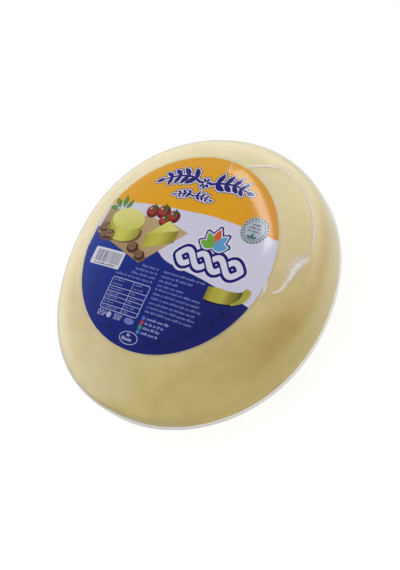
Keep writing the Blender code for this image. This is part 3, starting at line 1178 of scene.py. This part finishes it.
# The wall's brightness from straight down, 0, to straight up, 1
WALL_HEIGHTS = ((0.05, 0.58), (0.3, 0.55), (0.47, 1.0), (0.58, 1.0), (0.74, 0.2), (0.9, 0.0))
WALL_LIGHT = 1.9
GLOW_SIDE = (0.24, 0.66, 0.71)  # the way to a soft glow above the wall's right end
GLOW_SPREAD = (0.68, 1.0)
GLOW_LIGHT = 1.0
ROOM_LIGHT = 0.04
FILL_HEIGHTS = ((0.5, 1.0), (1.0, 0.87))
NEAR_SIDE = (0.95, 0.1, 0.24)   # the way to the wheel's near side, which gets less light
NEAR_SPREAD = (0.1, 0.95)
NEAR_SHADES = ((0.0, 1.0), (1.0, 0.6))
LAMP_BEARING, LAMP_ELEVATION, LAMP_DISTANCE, LAMP_TURN = 120.0, 52.5, 0.9, 20.0
LAMP_SIZE = (0.085, 0.48)
LAMP_POWER = 0.65
AIM = Vector((4.63, -1.51, 22.0)) * MM
CAMERA_BEARING, CAMERA_ELEVATION, CAMERA_DISTANCE = -21.13, 52.53, 0.45
CAMERA_ROLL = 47.30
LENS = 68.97


def stage_material(name, glow):
    """A pale matt paint that shines a little of its own, so that it stays near white."""
    material, tree, shader = new_material(name)
    paint = add_ramp(tree, add_noise(tree, 6.0, 2.0), STAGE_TONES)
    tree.links.new(paint, shader.inputs["Base Color"])
    set_inputs(shader, {"Roughness": 0.9, "Specular IOR Level": 0.1,
                        "Emission Color": (1.0, 1.0, 1.0, 1.0), "Emission Strength": glow})
    return material


def link_stage(name, bm, material):
    piece = link(name, mesh_from(name, bm), material)
    piece.visible_diffuse = False
    piece.visible_glossy = False
    return piece


def make_floor():
    bm = bmesh.new()
    bmesh.ops.create_grid(bm, x_segments=1, y_segments=1, size=FLOOR_HALF)
    bmesh.ops.translate(bm, verts=bm.verts, vec=(0, 0, -FLOOR_DROP))
    return link_stage("floor", bm, stage_material("pale_floor", FLOOR_GLOW))


def make_backdrop():
    """A pale screen all round that hides the floor's far edge and lets the light through."""
    bm = bmesh.new()
    bmesh.ops.create_cone(bm, segments=96, radius1=SCREEN_RADIUS, radius2=SCREEN_RADIUS,
                          depth=SCREEN_HEIGHT)
    bmesh.ops.reverse_faces(bm, faces=bm.faces)
    backdrop = link_stage("backdrop", bm, stage_material("pale_screen", SCREEN_GLOW))
    backdrop.visible_shadow = False
    backdrop.visible_transmission = False
    return backdrop


def direction(bearing, elevation):
    side, up = math.radians(bearing), math.radians(elevation)
    return Vector((math.cos(side) * math.cos(up), math.sin(side) * math.cos(up), math.sin(up)))


def place_facing(obj, centre, out, distance, turn):
    """Puts a lamp or a camera out from a centre, facing it, turned about its own line of sight."""
    bpy.context.scene.collection.objects.link(obj)
    obj.location = centre + out * distance
    obj.rotation_mode = "QUATERNION"
    level = (-out).to_track_quat("-Z", "Y")
    obj.rotation_quaternion = level @ Quaternion((0, 0, 1), math.radians(turn))


def make_lamp():
    """A strip light that shows only in gloss."""
    lamp = bpy.data.lights.new("strip_light", "AREA")
    lamp.shape = "RECTANGLE"
    lamp.size, lamp.size_y = LAMP_SIZE
    lamp.energy = LAMP_POWER
    obj = bpy.data.objects.new("strip_light", lamp)
    out = direction(LAMP_BEARING, LAMP_ELEVATION)
    place_facing(obj, Vector((0.0, 0.0, 0.0)), out, LAMP_DISTANCE, LAMP_TURN)
    obj.visible_diffuse = False


def make_room():
    """Even light for matt surfaces, and for gloss a bright wall on one side of a dim room."""
    world = bpy.data.worlds.new("room")
    bpy.context.scene.world = world
    world.use_nodes = True
    tree = world.node_tree
    place = tree.nodes.new("ShaderNodeTexCoord").outputs["Generated"]
    rise = add_share(tree, place, (0.0, 0.0, 1.0), -1.0, 1.0, "LINEAR")
    wall = add_share(tree, place, direction(WALL_BEARING, 0.0), *WALL_SPREAD)
    lit_wall = add_math(tree, "MULTIPLY", wall, add_ramp(tree, rise, WALL_HEIGHTS))
    wall_part = add_math(tree, "MULTIPLY", lit_wall, WALL_LIGHT)
    glow = add_share(tree, place, GLOW_SIDE, *GLOW_SPREAD)
    both = add_math(tree, "ADD", wall_part, add_math(tree, "MULTIPLY", glow, GLOW_LIGHT))
    wall_light = tree.nodes["Background"]
    tree.links.new(add_math(tree, "ADD", both, ROOM_LIGHT), wall_light.inputs["Color"])
    even_light = tree.nodes.new("ShaderNodeBackground")
    even = add_ramp(tree, rise, FILL_HEIGHTS)
    shades = add_ramp(tree, add_share(tree, place, NEAR_SIDE, *NEAR_SPREAD), NEAR_SHADES)
    tree.links.new(add_blend(tree, "MULTIPLY", 1.0, even, shades), even_light.inputs["Color"])
    in_gloss = tree.nodes.new("ShaderNodeLightPath").outputs["Is Glossy Ray"]
    room = mix_shaders(tree, in_gloss, even_light.outputs["Background"],
                       wall_light.outputs["Background"])
    tree.links.new(room, tree.nodes["World Output"].inputs["Surface"])


def make_camera():
    data = bpy.data.cameras.new("camera")
    data.lens = LENS
    data.clip_start = 0.01
    camera = bpy.data.objects.new("camera", data)
    out = direction(CAMERA_BEARING, CAMERA_ELEVATION)
    place_facing(camera, AIM, out, CAMERA_DISTANCE, -CAMERA_ROLL)
    bpy.context.scene.camera = camera


make_floor()
make_backdrop()
make_lamp()
make_room()
make_camera()
bpy.context.scene.view_settings.view_transform = "Standard"
